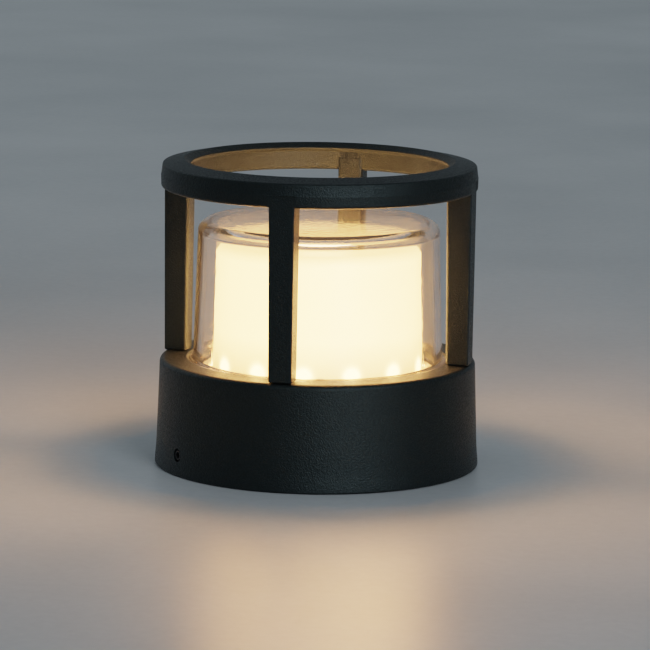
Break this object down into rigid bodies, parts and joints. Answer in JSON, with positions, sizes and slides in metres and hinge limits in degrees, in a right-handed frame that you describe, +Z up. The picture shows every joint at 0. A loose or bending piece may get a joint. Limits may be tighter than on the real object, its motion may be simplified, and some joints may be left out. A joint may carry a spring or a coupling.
{
  "type": "garden pedestal lantern",
  "caption": "Low round garden lantern: cast base, clear glass cover over a glowing opal diffuser, and a ring held on flat posts; the head lifts off a ground plate.",
  "frame": {"origin": "centre of the footprint, on the ground", "axes": "+Z up along the lantern's axis; the posts stand on the X and Y axes; the screw that shows in the usual view lies between -X and -Y"},
  "size_m": [0.16, 0.16, 0.1507],
  "materials": {
    "anthracite_coat": "fine-texture powder coat on cast aluminium",
    "clear_glass": "clear, polished",
    "opal_diffuser": "opal white, lit from inside",
    "black_rubber": "silicone, dull",
    "white_board": "white solder mask",
    "phosphor": "yellow phosphor under clear resin",
    "black_oxide": "black oxide",
    "screw_steel": "stainless",
    "zinc_plate": "zinc plated sheet",
    "white_plastic": "moulded",
    "black_plastic": "moulded polyamide",
    "red_wire": "wire insulation",
    "black_wire": "wire insulation",
    "brown_wire": "wire insulation",
    "blue_wire": "wire insulation"
  },
  "bodies": {
    "ground_plate": {"mounting_plate": "zinc_plate"},
    "head": {"base_housing": "anthracite_coat", "board_screw_1": "screw_steel", "board_screw_2": "screw_steel", "board_screw_3": "screw_steel", "bottom_cover": "zinc_plate", "cage": "anthracite_coat", "cage_screw_back": "screw_steel", "cage_screw_front": "screw_steel", "cage_screw_left": "screw_steel", "cage_screw_right": "screw_steel", "cover_gasket": "black_rubber", "cover_screw_1": "screw_steel", "cover_screw_2": "screw_steel", "cover_screw_3": "screw_steel", "cover_screw_4": "screw_steel", "diffuser": "opal_diffuser", "diffuser_screw_1": "screw_steel", "diffuser_screw_2": "screw_steel", "diffuser_screw_3": "screw_steel", "driver": "white_plastic", "driver_screw_1": "screw_steel", "driver_screw_2": "screw_steel", "earth_screw": "screw_steel", "gland_body": "black_plastic", "gland_locknut": "black_plastic", "gland_nut": "black_plastic", "glass_cover": "clear_glass", "glass_gasket": "black_rubber", "lead_grommet": "black_rubber", "lead_live": "brown_wire", "lead_negative": "black_wire", "lead_neutral": "blue_wire", "lead_positive": "red_wire", "led_01": "phosphor", "led_02": "phosphor", "led_03": "phosphor", "led_04": "phosphor", "led_05": "phosphor", "led_06": "phosphor", "led_07": "phosphor", "led_08": "phosphor", "led_09": "phosphor", "led_10": "phosphor", "led_11": "phosphor", "led_12": "phosphor", "led_13": "phosphor", "led_14": "phosphor", "led_board": "white_board", "terminal_block": "white_plastic", "terminal_block_screw": "screw_steel"},
    "grub_front_left": {"grub_screw_front_left": "black_oxide"},
    "grub_back_right": {"grub_screw_back_right": "black_oxide"}
  },
  "joints": [
    {"name": "head_lift", "type": "slide", "parent": "ground_plate", "child": "head", "axis": [0, 0, 1], "range_m": [0, 0.05]},
    {"name": "grub_front_left_unscrew", "type": "slide", "parent": "head", "child": "grub_front_left", "axis": [-0.7071, -0.7071, 0], "range_m": [0, 0.008]},
    {"name": "grub_back_right_unscrew", "type": "slide", "parent": "head", "child": "grub_back_right", "axis": [0.7071, 0.7071, 0], "range_m": [0, 0.008]}
  ]
}
